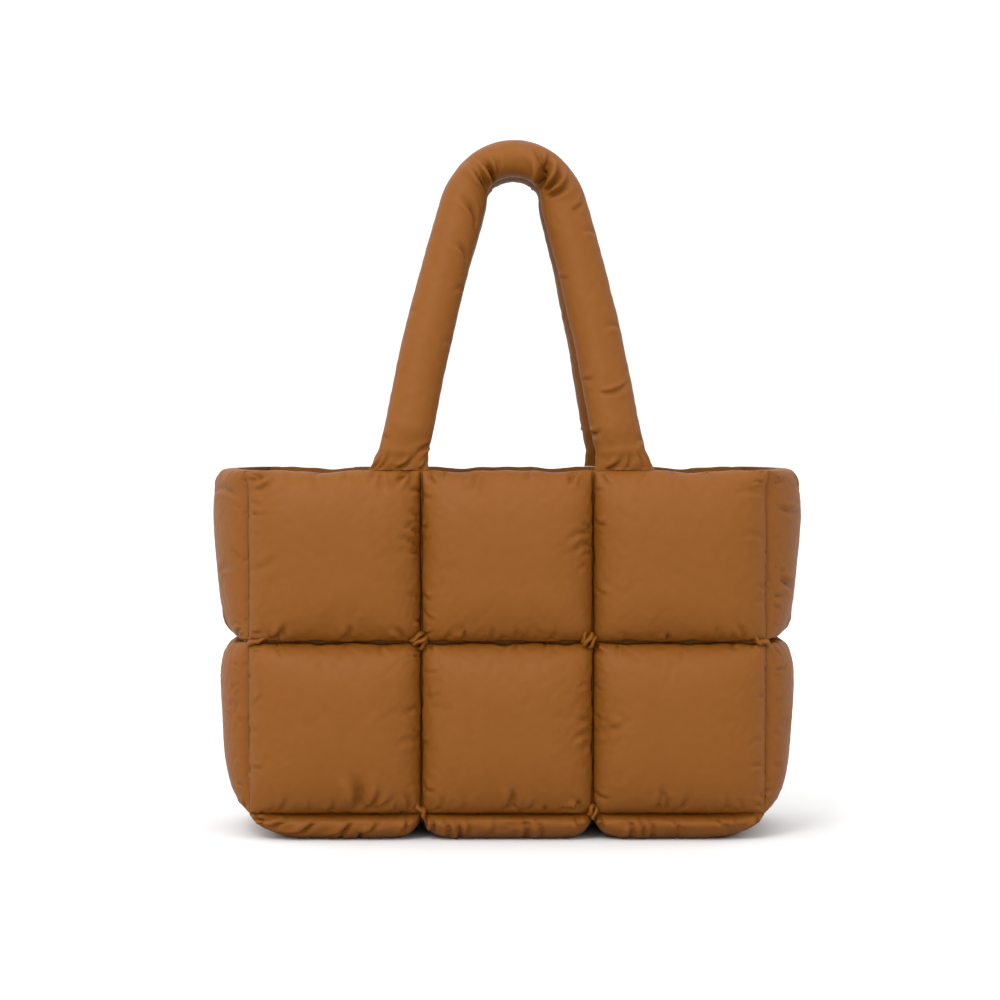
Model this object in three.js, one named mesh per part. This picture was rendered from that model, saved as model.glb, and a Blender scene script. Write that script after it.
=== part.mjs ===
// A padded tote bag: quilted front and back panels of three by two stuffed squares, two quilted end gussets,
// a quilted base of three squares that the bag stands on, and two stuffed carrying handles sewn to the rim.
// Millimetres, +Z up. The origin is on the floor under the middle of the bag. The front faces -Y.
import * as THREE from "three";
import { mergeVertices } from "three/addons/utils/BufferGeometryUtils.js";

// Quilting grid, from seam to seam.
const SQUARE_WIDTH = 130;
const SQUARE_HEIGHT = 130;
const COLUMNS = 3;
const ROWS = 2;
const BAG_DEPTH = 130;
const BASE_HEIGHT = 22; // the lowest seam above the floor

// Cloth and padding.
const SEAM_THICKNESS = 4; // shell, lining and squashed padding under a row of stitches
const RIM_THICKNESS = 8; // the turned-in top edge
const RIM_ROLL = 16; // height over which the wall thickens into the rim
const RIM_RIPPLE = 1.4; // rise and fall of the slack top edge
const RIM_RIPPLE_PITCH = 92; // length of one ripple
const PIECE_GAP = 0.3; // between pieces that are sewn to each other
const PANEL_PUFF = 25; // swell of a front or back square
const GUSSET_PUFF = 17; // swell of a gusset square
const BASE_PUFF = 25; // swell of a base square before the floor flattens it
const BASE_LIP = 6; // how far a base square bulges sideways past its own seam
const LINING_PUFF = 5; // swell of every square towards the inside
const GUSSET_FLARE = 20; // how far the rim of a gusset bows outwards

// Handles.
const HANDLE_RISE = 240; // rim to the middle of the arch's tube
const HANDLE_SPREAD = 172; // between the middles of a handle's two feet
const ARCH_RADIUS = 38;
const HANDLE_THICKNESS = 37; // of the stuffed tube
const FRONT_FEET_SHIFT = 3.4; // the front handle's feet, to the right of the bag's middle
const BACK_FEET_SHIFT = -0.6;
const ARCH_SHIFT = 5.2; // the tops of both handles, to the right of the bag's middle
const FOOT_ROOM = 4; // stretch of level rim beside a foot
const HANDLE_TOP_GAP = 2; // between the two handles where they lean together
const FOOT_RISE = 40; // height over which a foot fills out to the full tube

// Shape of a square's swell: the larger the number, the flatter its middle and the steeper its sides.
const STEEP_BESIDE_A_SQUARE = 5; // squashed by the next square of the same panel
const STEEP_AT_AN_EDGE = 3.2; // free to round off towards the next panel

// Fineness of the facets.
const SQUARE_STEPS = 10;
const SEAM_CROWDING = 0.75; // share by which the facets crowd towards the seams
const TUBE_SIDES = 12;
const TUBE_STEPS = 56;
const ARCH_CROWDING = 0.35; // share by which a handle's rings crowd towards its arch

const BAG_WIDTH = COLUMNS * SQUARE_WIDTH;
const WALL_HEIGHT = ROWS * SQUARE_HEIGHT;
const RIM_HEIGHT = BASE_HEIGHT + WALL_HEIGHT;
const MITRE_GAP = PIECE_GAP / Math.SQRT2; // each side's share of the gap across a mitred corner seam

// Hollows in the front and back squares, where the slack shell falls in beside a seam. Places and sizes are
// shares of a square, depths are shares of the panel's swell.
const PANEL_DENTS = [
  { column: 0, row: 0, across: 0.62, up: 0.12, width: 0.1, height: 0.14, depth: 0.16 },
  { column: 0, row: 0, across: 0.88, up: 0.55, width: 0.09, height: 0.16, depth: 0.1 },
  { column: 1, row: 0, across: 0.5, up: 0.1, width: 0.1, height: 0.12, depth: 0.12 },
  { column: 1, row: 0, across: 0.9, up: 0.48, width: 0.08, height: 0.12, depth: 0.1 },
  { column: 2, row: 0, across: 0.38, up: 0.12, width: 0.12, height: 0.12, depth: 0.14 },
  { column: 2, row: 0, across: 0.72, up: 0.1, width: 0.08, height: 0.1, depth: 0.1 },
  { column: 0, row: 1, across: 0.12, up: 0.78, width: 0.16, height: 0.08, depth: 0.16 },
  { column: 0, row: 1, across: 0.6, up: 0.1, width: 0.1, height: 0.12, depth: 0.12 },
  { column: 1, row: 1, across: 0.3, up: 0.86, width: 0.08, height: 0.14, depth: 0.12 },
  { column: 2, row: 1, across: 0.72, up: 0.12, width: 0.08, height: 0.12, depth: 0.1 },
  { column: 2, row: 1, across: 0.2, up: 0.9, width: 0.1, height: 0.1, depth: 0.1 },
];

// The handle's cross-section along its length: along is a share of the length from the left foot to the top
// of the arch, and the right half mirrors it. Width lies in the plane of the arch and depth from front to
// back, both as shares of the handle's thickness.
const HANDLE_SECTIONS = [
  { along: 0, width: 1.24, depth: 0.32 },
  { along: 0.04, width: 1.19, depth: 0.54 },
  { along: 0.13, width: 1.03, depth: 0.92 },
  { along: 0.45, width: 1, depth: 0.97 },
  { along: 0.8, width: 0.97, depth: 1 },
  { along: 0.9, width: 0.89, depth: 1.05 },
  { along: 1, width: 0.84, depth: 1.08 },
];

// Folds across a handle: along is a share of the whole length, around is in degrees from the inner side of
// the arch, reach is a share of the length, spread is in degrees, and depth is a share of the half width.
const HANDLE_FOLDS = [
  { along: 0.435, around: 0, reach: 0.014, spread: 70, depth: 0.34 },
  { along: 0.462, around: -10, reach: 0.012, spread: 60, depth: 0.22 },
  { along: 0.545, around: 0, reach: 0.014, spread: 80, depth: 0.4 },
  { along: 0.572, around: 12, reach: 0.012, spread: 60, depth: 0.24 },
  { along: 0.385, around: 20, reach: 0.012, spread: 45, depth: 0.14 },
  { along: 0.62, around: -20, reach: 0.012, spread: 45, depth: 0.12 },
  { along: 0.3, around: 10, reach: 0.014, spread: 40, depth: 0.1 },
  { along: 0.045, around: -40, reach: 0.012, spread: 40, depth: 0.18 },
  { along: 0.955, around: 30, reach: 0.012, spread: 45, depth: 0.18 },
];

const FABRIC_COLOUR = new THREE.Color().setRGB(157 / 255, 98 / 255, 50 / 255, THREE.SRGBColorSpace);

function fabric() {
  return new THREE.MeshStandardMaterial({ color: FABRIC_COLOUR, roughness: 0.55, metalness: 0 });
}

function smoothStep(share) {
  const s = THREE.MathUtils.clamp(share, 0, 1);
  return s * s * (3 - 2 * s);
}

function bell(distance, width) {
  return Math.exp(-((distance / width) ** 2));
}

// Splits a coordinate counted in squares into the square's number and the share across it.
function inSquare(coordinate, count) {
  const square = Math.min(Math.floor(coordinate + 1e-9), count - 1);
  return { square, share: coordinate - square };
}

// Moves evenly spaced facets towards the seams, where the swell turns most.
function crowded(coordinate, count) {
  const { square, share } = inSquare(coordinate, count);
  return square + share - (SEAM_CROWDING * Math.sin(2 * Math.PI * share)) / (2 * Math.PI);
}

// Swell of a stuffed square, 0 on its seams and 1 in its middle, steeper on the sides that touch a square of
// the same panel than on the panel's own edges.
function swell(coordinate, count) {
  const { square, share } = inSquare(coordinate, count);
  const outermost = share < 0.5 ? square === 0 : square === count - 1;
  const steepness = outermost ? STEEP_AT_AN_EDGE : STEEP_BESIDE_A_SQUARE;
  return Math.sqrt(Math.max(0, 1 - Math.abs(2 * share - 1) ** steepness));
}

// The lining's shallow swell, gentle enough to stay clear of the next panel in an inner corner.
function liningSwell(across, columns, up, rows) {
  const a = inSquare(across, columns).share;
  const b = inSquare(up, rows).share;
  return LINING_PUFF * 4 * a * (1 - a) * 4 * b * (1 - b);
}

// Half the wall's thickness on its seams, thicker towards the rim.
function halfWall(heightAboveBase) {
  const roll = smoothStep((heightAboveBase - WALL_HEIGHT + RIM_ROLL) / RIM_ROLL);
  return THREE.MathUtils.lerp(SEAM_THICKNESS, RIM_THICKNESS, roll) / 2;
}

function dentDepth(across, up) {
  let depth = 0;
  for (const dent of PANEL_DENTS) {
    const sideways = bell(across - dent.column - dent.across, dent.width);
    depth += dent.depth * sideways * bell(up - dent.row - dent.up, dent.height);
  }
  return depth;
}

// The front rim ripples between the handles' feet, and is level under them.
function rimRipple(x) {
  const footHalf = (HANDLE_THICKNESS * HANDLE_SECTIONS[0].width) / 2;
  const fromFoot = Math.max(0, Math.abs(Math.abs(x) - HANDLE_SPREAD / 2) - footHalf - FOOT_ROOM);
  const loose = smoothStep(fromFoot / footHalf) * smoothStep((BAG_WIDTH / 2 - Math.abs(x)) / footHalf);
  return -RIM_RIPPLE * loose * (0.5 - 0.5 * Math.cos((2 * Math.PI * x) / RIM_RIPPLE_PITCH));
}

// A quilted panel is a slab whose two faces are grids of squares. surface gives the place of a point from
// its coordinates across and up, counted in squares, and its side: 1 for the shell, -1 for the lining.
function quiltedPanel(columns, rows, surface) {
  const slab = new THREE.BoxGeometry(columns, rows, 1, columns * SQUARE_STEPS, rows * SQUARE_STEPS, 1);
  const corners = slab.getAttribute("position");
  for (let i = 0; i < corners.count; i++) {
    const across = crowded(corners.getX(i) + columns / 2, columns);
    const up = crowded(corners.getY(i) + rows / 2, rows);
    corners.setXYZ(i, ...surface(across, up, Math.sign(corners.getZ(i))));
  }
  return closedSurface(slab);
}

// Merges the duplicate vertices along a primitive's edges, so that its faces share them.
function closedSurface(geometry) {
  geometry.deleteAttribute("normal");
  geometry.deleteAttribute("uv");
  const closed = mergeVertices(geometry, 1e-4);
  closed.computeVertexNormals();
  return closed;
}

// How far a point moves outwards so that the panel's edge meets the next panel's in a mitre.
function mitre(share, side, half) {
  return (2 * share - 1) * (side * half - MITRE_GAP);
}

function panelSurface(across, up, side) {
  const half = halfWall(up * SQUARE_HEIGHT);
  const x = (across - COLUMNS / 2) * SQUARE_WIDTH + mitre(across / COLUMNS, side, half);
  const level = BASE_HEIGHT + up * SQUARE_HEIGHT;
  const z = level + (1 - up / ROWS) * (MITRE_GAP - side * half) + (up / ROWS) ** 4 * rimRipple(x);
  const fullness = swell(across, COLUMNS) * swell(up, ROWS);
  const puff = PANEL_PUFF * fullness * (1 - dentDepth(across, up));
  const y = side > 0 ? -half - puff : half + liningSwell(across, COLUMNS, up, ROWS);
  return [x, y - BAG_DEPTH / 2, z];
}

function gussetSurface(across, up, side) {
  const half = halfWall(up * SQUARE_HEIGHT);
  const y = (across - 0.5) * BAG_DEPTH + mitre(across, side, half);
  const z = BASE_HEIGHT + up * SQUARE_HEIGHT + (1 - up / ROWS) * (MITRE_GAP - side * half);
  const bow = GUSSET_FLARE * (up / ROWS) * 4 * across * (1 - across);
  const puff = GUSSET_PUFF * swell(across, 1) * swell(up, ROWS);
  const out = side > 0 ? half + puff : -half - liningSwell(across, 1, up, ROWS);
  return [BAG_WIDTH / 2 + bow + out, y, z];
}

function baseSurface(across, back, side) {
  const half = SEAM_THICKNESS / 2;
  const x = (across - COLUMNS / 2) * SQUARE_WIDTH + mitre(across / COLUMNS, side, half);
  const y = (0.5 - back) * BAG_DEPTH - mitre(back, side, half);
  if (side < 0) return [x, y, BASE_HEIGHT + half + liningSwell(across, COLUMNS, back, 1)];
  const along = swell(across, COLUMNS);
  const fullness = along * swell(back, 1);
  const lip = BASE_LIP * along * 4 * fullness * (1 - fullness);
  const bulge = lip * Math.sign(0.5 - back);
  return [x, y + bulge, Math.max(0, BASE_HEIGHT - half - BASE_PUFF * fullness)];
}

// The arch in its own plane: the middle line of a handle from the left foot to the right one, measured from
// the middle of the rim. Straight legs run into a round arch.
function handlePath() {
  const archHeight = HANDLE_RISE - ARCH_RADIUS;
  const footX = HANDLE_SPREAD / 2;
  const toFoot = Math.hypot(footX, archHeight);
  const tangentAngle = Math.acos(ARCH_RADIUS / toFoot) - Math.atan2(archHeight, footX);
  const path = new THREE.Path();
  path.moveTo(-footX, 0);
  path.lineTo(-ARCH_RADIUS * Math.cos(tangentAngle), archHeight + ARCH_RADIUS * Math.sin(tangentAngle));
  path.absarc(0, archHeight, ARCH_RADIUS, Math.PI - tangentAngle, tangentAngle, true);
  path.lineTo(footX, 0);
  return path;
}

// Half the width and half the depth of the handle's section, smoothly between the rows of HANDLE_SECTIONS.
function handleSection(share) {
  const along = 1 - Math.abs(2 * share - 1);
  const next = Math.max(1, HANDLE_SECTIONS.findIndex((row) => row.along >= along - 1e-9));
  const [from, to] = [HANDLE_SECTIONS[next - 1], HANDLE_SECTIONS[next]];
  const mix = smoothStep((along - from.along) / (to.along - from.along));
  return {
    halfWidth: (HANDLE_THICKNESS * THREE.MathUtils.lerp(from.width, to.width, mix)) / 2,
    halfDepth: (HANDLE_THICKNESS * THREE.MathUtils.lerp(from.depth, to.depth, mix)) / 2,
  };
}

function foldDepth(share, degrees) {
  let depth = 0;
  for (const fold of HANDLE_FOLDS) {
    const turn = Math.abs(THREE.MathUtils.euclideanModulo(degrees - fold.around + 180, 360) - 180);
    depth += fold.depth * bell(share - fold.along, fold.reach) * bell(turn, fold.spread);
  }
  return depth;
}

// A stuffed handle: a closed tube bent along the path and leaning back from its foot on the rim towards the
// other handle. The feet end flat, just above the rim. The feet and the arch are shifted sideways.
function handleGeometry(feetShift, archShift) {
  const path = handlePath();
  const tube = new THREE.CylinderGeometry(1, 1, 1, TUBE_SIDES, TUBE_STEPS, false);
  const rings = tube.getAttribute("position");
  const leanBack = BAG_DEPTH / 2 - HANDLE_TOP_GAP / 2 - handleSection(0.5).halfDepth;
  for (let i = 0; i < rings.count; i++) {
    const evenly = 0.5 + rings.getY(i);
    const share = evenly + (ARCH_CROWDING * Math.sin(2 * Math.PI * evenly)) / (2 * Math.PI);
    const middle = path.getPointAt(share);
    const tangent = path.getTangentAt(share);
    const foot = 1 - smoothStep(middle.y / FOOT_RISE);
    const inward = new THREE.Vector2(tangent.y, -tangent.x);
    inward.lerp(new THREE.Vector2(Math.sign(tangent.y), 0), foot).normalize();
    const { halfWidth, halfDepth } = handleSection(share);
    const degrees = THREE.MathUtils.radToDeg(Math.atan2(rings.getZ(i), rings.getX(i)));
    const full = 1 - foldDepth(share, degrees);
    const outward = rings.getX(i) * full * halfWidth;
    const z = middle.y + inward.y * outward;
    const raised = Math.max(0, z / HANDLE_RISE);
    const x = middle.x + inward.x * outward + THREE.MathUtils.lerp(feetShift, archShift, raised);
    const lean = leanBack * raised;
    const y = lean - BAG_DEPTH / 2 - rings.getZ(i) * full * halfDepth;
    rings.setXYZ(i, x, y, RIM_HEIGHT + PIECE_GAP + z);
  }
  return closedSurface(tube);
}

function piece(name, geometry, halfTurn = false) {
  const mesh = new THREE.Mesh(geometry, fabric());
  mesh.name = name;
  if (halfTurn) mesh.rotation.z = Math.PI;
  return mesh;
}

const panel = quiltedPanel(COLUMNS, ROWS, panelSurface);
const gusset = quiltedPanel(1, ROWS, gussetSurface);
const base = quiltedPanel(COLUMNS, 1, baseSurface);

const bag = new THREE.Group();
bag.add(piece("front_panel", panel));
bag.add(piece("back_panel", panel, true));
bag.add(piece("right_gusset", gusset));
bag.add(piece("left_gusset", gusset, true));
bag.add(piece("base_panel", base));
bag.add(piece("front_handle", handleGeometry(FRONT_FEET_SHIFT, ARCH_SHIFT)));
bag.add(piece("back_handle", handleGeometry(-BACK_FEET_SHIFT, -ARCH_SHIFT), true));

export default bag;
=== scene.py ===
"""Dresses the padded tote bag: stuffed and quilted nylon walls, a stuffed base and two stuffed handles."""

import math
from collections import namedtuple
from functools import partial

import bmesh
import bpy
import numpy as np
from mathutils import Matrix, Vector, noise


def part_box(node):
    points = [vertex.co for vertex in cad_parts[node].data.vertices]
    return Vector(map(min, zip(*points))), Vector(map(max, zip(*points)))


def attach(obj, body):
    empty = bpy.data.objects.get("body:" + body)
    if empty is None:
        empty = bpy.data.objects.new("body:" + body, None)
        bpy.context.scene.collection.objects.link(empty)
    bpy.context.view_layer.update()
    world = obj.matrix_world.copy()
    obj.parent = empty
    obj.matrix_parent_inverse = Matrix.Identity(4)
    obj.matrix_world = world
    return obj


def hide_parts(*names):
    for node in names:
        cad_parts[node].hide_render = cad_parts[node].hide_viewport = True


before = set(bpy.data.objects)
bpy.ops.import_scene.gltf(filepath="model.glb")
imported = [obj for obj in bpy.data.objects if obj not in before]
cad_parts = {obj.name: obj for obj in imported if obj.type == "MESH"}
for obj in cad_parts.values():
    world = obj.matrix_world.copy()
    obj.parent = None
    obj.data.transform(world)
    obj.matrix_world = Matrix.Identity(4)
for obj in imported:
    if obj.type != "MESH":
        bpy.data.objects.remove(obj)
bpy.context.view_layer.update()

bl_info = {
    "name": "Padded tote bag",
    "version": (1, 0, 0),
    "blender": (4, 5, 0),
    "location": "3D View > Sidebar > Tote bag",
    "description": "Builds the cloth of a quilted, stuffed tote bag around its packed solids",
    "category": "Object",
}

BODY = "root"

# The quilting grid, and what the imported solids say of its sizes. Lengths are in metres.
COLUMNS = 3
ROWS = 2
SEAM_THICKNESS = 0.004
RIM_THICKNESS = 0.008
PIECE_GAP = 0.0003
MITRE_GAP = PIECE_GAP / math.sqrt(2)
RIM_INSET = RIM_THICKNESS / 2 - MITRE_GAP
FRONT_LOW, FRONT_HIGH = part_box("front_panel")
GUSSET_LOW, GUSSET_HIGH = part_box("right_gusset")
HANDLE_LOW, HANDLE_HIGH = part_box("front_handle")
BACK_HANDLE_LOW, BACK_HANDLE_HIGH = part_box("back_handle")

# Shape of a square's swell: the larger the number, the flatter its middle and the steeper its sides.
STEEP_BESIDE_A_SQUARE = 5.0
STEEP_AT_AN_EDGE = 3.2
BASE_STEEP_AT_AN_END = 2.4
BASE_STEEP_BESIDE_A_SQUARE = 7.0

# Shares of a base square's swell from which it has its whole lip, and from which it turns under.
LIP_FROM = 0.3
UNDERSIDE_FROM = 0.45

# The gussets bow outwards slowly above the base and faster towards the rim.
FLARE_STEEPNESS = 1.35

# Facets along one side of a square, while the cloth is inflated, of the finished shell and of the lining.
CUT_STEPS = 46
SHELL_STEPS = 104
SHELL_CROWDING = 0.5
LINING_STEPS = 26

# Facets round and along a handle, while it is inflated and finished.
TUBE_SIDES = 24
TUBE_STEPS = 110
TUBE_FINER = 5

# The handle's cloth is cut longer than its middle line, by this share of what its outer side is longer.
OUTER_CUT = 0.5

# Shares of the way round a handle's tube at which it faces the inside and the outside of its arch.
INNER_SIDE = 0.25
OUTER_SIDE = 0.75

# A handle's folds and lumps fade out within this share of the way round from its seam.
CALM_BESIDE_SEAM = 0.08

# A handle's legs bow outwards between these shares of its rise.
BOW_FROM = 0.12
BOW_TO = 0.88

# How the cloth is cut and inflated. Slack is the cut's length against the frame of seams, frames counts the
# steps of the simulation, and no point moves further than most_moved from the shape it starts in.
Filling = namedtuple("Filling", "slack pressure frames bending most_moved")
PANEL_FILLING = Filling(slack=1.26, pressure=3.0, frames=22, bending=0.1, most_moved=0.008)
GUSSET_FILLING = Filling(slack=1.22, pressure=3.0, frames=22, bending=0.1, most_moved=0.006)
BASE_FILLING = Filling(slack=1.2, pressure=3.0, frames=18, bending=0.1, most_moved=0.005)
HANDLE_FILLING = Filling(slack=1.01, pressure=4.0, frames=20, bending=1.5, most_moved=0.003)

# The cloth is shaken by about this much before it is inflated, so that it doesn't stay perfectly even.
SHAKE = 0.0001
HANDLE_SEED = 5

# Creases, each a line that starts at a place counted in squares and runs off at an angle in degrees. The
# cloth falls in along the line and stands up beside it. Reach, width and depth are in metres.
Crease = namedtuple("Crease", "across up turn reach width depth")
FRONT_CREASES = [
    # Puckers over the bottom seam, left square to right square.
    Crease(0.16, 0.0, 70, 0.020, 0.0030, 0.0020),
    Crease(0.34, 0.0, 100, 0.014, 0.0024, 0.0015),
    Crease(0.46, 0.0, 80, 0.018, 0.0026, 0.0018),
    Crease(0.615, 0.0, 97, 0.034, 0.0060, 0.0065),
    Crease(0.655, 0.0, 62, 0.030, 0.0026, 0.0037),
    Crease(0.70, 0.02, 35, 0.026, 0.0030, 0.0022),
    Crease(0.93, 0.0, 110, 0.020, 0.0030, 0.0028),
    Crease(1.08, 0.0, 75, 0.016, 0.0026, 0.0018),
    Crease(1.24, 0.0, 95, 0.014, 0.0026, 0.0015),
    Crease(1.48, 0.0, 78, 0.026, 0.0032, 0.0037),
    Crease(1.53, 0.01, 100, 0.022, 0.0026, 0.0025),
    Crease(1.60, 0.0, 60, 0.018, 0.0028, 0.0020),
    Crease(1.80, 0.02, 20, 0.022, 0.0026, 0.0020),
    Crease(1.93, 0.0, 120, 0.016, 0.0028, 0.0022),
    Crease(2.36, 0.0, 82, 0.026, 0.0032, 0.0035),
    Crease(2.43, 0.0, 105, 0.020, 0.0026, 0.0028),
    Crease(2.49, 0.0, 70, 0.022, 0.0030, 0.0025),
    Crease(2.77, 0.0, 95, 0.018, 0.0028, 0.0022),
    Crease(2.88, 0.0, 120, 0.014, 0.0026, 0.0018),
    # Over the middle seam.
    Crease(0.12, 1.0, 55, 0.022, 0.0036, 0.0037),
    Crease(0.52, 1.0, 62, 0.020, 0.0028, 0.0022),
    Crease(0.57, 1.0, 90, 0.016, 0.0026, 0.0018),
    Crease(0.90, 1.0, 130, 0.016, 0.0030, 0.0028),
    Crease(1.12, 1.0, 60, 0.014, 0.0028, 0.0018),
    Crease(1.60, 1.0, 80, 0.014, 0.0026, 0.0013),
    Crease(2.70, 1.0, 92, 0.018, 0.0028, 0.0022),
    Crease(2.88, 1.0, 118, 0.018, 0.0030, 0.0025),
    # Under the rim and the handles' feet.
    Crease(0.02, 1.88, 38, 0.024, 0.0030, 0.0022),
    Crease(-0.02, 1.94, 28, 0.020, 0.0030, 0.0022),
    Crease(0.41, 2.0, 268, 0.014, 0.0028, 0.0015),
    Crease(0.77, 2.0, 282, 0.018, 0.0028, 0.0030),
    Crease(0.93, 2.0, 235, 0.020, 0.0034, 0.0032),
    Crease(1.04, 2.0, 300, 0.014, 0.0030, 0.0028),
    Crease(1.34, 2.0, 252, 0.020, 0.0032, 0.0035),
    Crease(1.28, 2.0, 262, 0.014, 0.0026, 0.0018),
    Crease(1.92, 2.0, 240, 0.016, 0.0030, 0.0028),
    Crease(2.05, 2.0, 300, 0.014, 0.0028, 0.0020),
    Crease(2.30, 2.0, 262, 0.014, 0.0026, 0.0018),
    Crease(2.98, 1.86, 180, 0.022, 0.0036, 0.0015),
    # Beside the upright seams.
    Crease(1.0, 1.62, 155, 0.018, 0.0028, 0.0025),
    Crease(1.0, 1.55, 162, 0.022, 0.0028, 0.0028),
    Crease(0.99, 1.72, 150, 0.012, 0.0026, 0.0018),
    Crease(2.0, 1.64, 200, 0.024, 0.0030, 0.0025),
    Crease(2.0, 1.58, 212, 0.020, 0.0028, 0.0020),
    Crease(2.0, 0.47, 205, 0.020, 0.0028, 0.0022),
    Crease(2.02, 0.49, 22, 0.030, 0.0036, 0.0018),
    Crease(1.02, 0.68, 25, 0.014, 0.0026, 0.0015),
    Crease(1.0, 0.42, 190, 0.022, 0.0036, 0.0015),
    Crease(3.0, 1.60, 172, 0.020, 0.0030, 0.0020),
    Crease(-0.03, 1.42, 28, 0.034, 0.0040, 0.0013),
]
GUSSET_CREASES = [
    Crease(0.0, 1.79, 2, 0.046, 0.0034, 0.0028),
    Crease(1.0, 1.84, 180, 0.050, 0.0036, 0.0022),
    Crease(0.02, 1.38, 350, 0.040, 0.0036, 0.0037),
    Crease(0.95, 1.42, 200, 0.036, 0.0036, 0.0025),
    Crease(0.0, 0.50, 20, 0.040, 0.0040, 0.0025),
    Crease(1.0, 0.55, 165, 0.036, 0.0036, 0.0022),
    Crease(0.30, 1.0, 75, 0.026, 0.0034, 0.0030),
    Crease(0.55, 1.0, 95, 0.022, 0.0030, 0.0025),
    Crease(0.74, 1.0, 110, 0.028, 0.0032, 0.0028),
    Crease(0.42, 1.0, 268, 0.020, 0.0030, 0.0022),
    Crease(0.66, 1.0, 285, 0.022, 0.0030, 0.0022),
    Crease(0.30, 0.0, 70, 0.024, 0.0032, 0.0028),
    Crease(0.52, 0.0, 92, 0.030, 0.0036, 0.0032),
    Crease(0.72, 0.0, 108, 0.022, 0.0032, 0.0025),
    Crease(0.35, 2.0, 268, 0.020, 0.0030, 0.0020),
    Crease(0.62, 2.0, 275, 0.024, 0.0030, 0.0022),
]
BASE_CREASES = [
    Crease(0.17, 0.004, 163, 0.024, 0.0024, 0.0037),
    Crease(0.27, 0.004, 157, 0.030, 0.0026, 0.0044),
    Crease(0.42, 0.004, 155, 0.036, 0.0026, 0.0048),
    Crease(0.59, 0.010, 146, 0.028, 0.0026, 0.0044),
    Crease(0.54, 0.075, 128, 0.016, 0.0022, 0.0031),
    Crease(0.62, 0.080, 118, 0.016, 0.0022, 0.0031),
    Crease(0.72, 0.006, 140, 0.020, 0.0024, 0.0031),
    Crease(0.86, 0.004, 120, 0.018, 0.0024, 0.0031),
    Crease(0.08, 0.004, 70, 0.020, 0.0026, 0.0026),
    Crease(1.12, 0.004, 96, 0.022, 0.0024, 0.0041),
    Crease(1.19, 0.004, 84, 0.020, 0.0022, 0.0034),
    Crease(1.25, 0.006, 92, 0.024, 0.0024, 0.0041),
    Crease(1.31, 0.004, 102, 0.018, 0.0022, 0.0034),
    Crease(1.44, 0.004, 110, 0.016, 0.0024, 0.0024),
    Crease(1.575, 0.006, 92, 0.022, 0.0024, 0.0037),
    Crease(1.635, 0.006, 82, 0.020, 0.0022, 0.0034),
    Crease(1.82, 0.004, 70, 0.016, 0.0024, 0.0024),
    Crease(2.10, 0.004, 100, 0.016, 0.0024, 0.0027),
    Crease(2.26, 0.004, 96, 0.020, 0.0024, 0.0037),
    Crease(2.31, 0.006, 86, 0.018, 0.0022, 0.0031),
    Crease(2.36, 0.004, 92, 0.020, 0.0024, 0.0034),
    Crease(2.47, 0.004, 75, 0.016, 0.0024, 0.0027),
    Crease(2.68, 0.004, 60, 0.020, 0.0024, 0.0027),
    Crease(2.93, 0.004, 130, 0.024, 0.0026, 0.0041),
]

# Folds of the handle: across is a share of its length from the left foot, up a share of the way round it.
HANDLE_CREASES = [
    # Left shoulder of the arch.
    Crease(0.4090, 0.250, 71, 0.056, 0.0034, 0.0060),
    Crease(0.4290, 0.300, 80, 0.044, 0.0028, 0.0044),
    Crease(0.4425, 0.220, 87, 0.056, 0.0038, 0.0073),
    Crease(0.4620, 0.330, 84, 0.034, 0.0030, 0.0029),
    # Right shoulder, with the deepest fold.
    Crease(0.5640, 0.265, 122, 0.050, 0.0056, 0.0104),
    Crease(0.5480, 0.420, 106, 0.036, 0.0034, 0.0057),
    Crease(0.5790, 0.330, 117, 0.046, 0.0032, 0.0062),
    Crease(0.5920, 0.350, 112, 0.042, 0.0030, 0.0049),
    # Along the legs.
    Crease(0.3580, 0.340, 48, 0.036, 0.0032, 0.0039),
    Crease(0.3060, 0.330, 50, 0.026, 0.0030, 0.0031),
    Crease(0.2690, 0.250, 92, 0.020, 0.0034, 0.0018),
    Crease(0.8840, 0.420, 100, 0.034, 0.0026, 0.0026),
    Crease(0.1900, 0.260, 88, 0.018, 0.0036, 0.0010),
    Crease(0.2300, 0.720, 268, 0.016, 0.0036, 0.0010),
    Crease(0.6220, 0.520, 121, 0.024, 0.0030, 0.0021),
    Crease(0.6600, 0.700, 265, 0.020, 0.0034, 0.0013),
    Crease(0.7050, 0.260, 80, 0.020, 0.0034, 0.0013),
    Crease(0.8000, 0.700, 265, 0.022, 0.0036, 0.0013),
    Crease(0.8600, 0.300, 95, 0.018, 0.0034, 0.0013),
    Crease(0.0420, 0.220, 121, 0.030, 0.0030, 0.0031),
    Crease(0.0500, 0.740, 258, 0.018, 0.0034, 0.0013),
    Crease(0.9380, 0.220, 95, 0.024, 0.0032, 0.0029),
    Crease(0.9620, 0.740, 280, 0.020, 0.0034, 0.0016),
    # Gathers at the feet.
    Crease(0.0, 0.700, 330, 0.014, 0.0022, 0.0021),
    Crease(0.0, 0.620, 350, 0.016, 0.0022, 0.0018),
    Crease(0.0, 0.520, 318, 0.018, 0.0026, 0.0031),
    Crease(0.0, 0.390, 312, 0.014, 0.0022, 0.0023),
    Crease(1.0, 0.380, 128, 0.020, 0.0026, 0.0031),
    Crease(1.0, 0.500, 160, 0.018, 0.0022, 0.0018),
    Crease(1.0, 0.610, 186, 0.016, 0.0022, 0.0018),
    Crease(1.0, 0.690, 200, 0.014, 0.0022, 0.0018),
]

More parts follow.
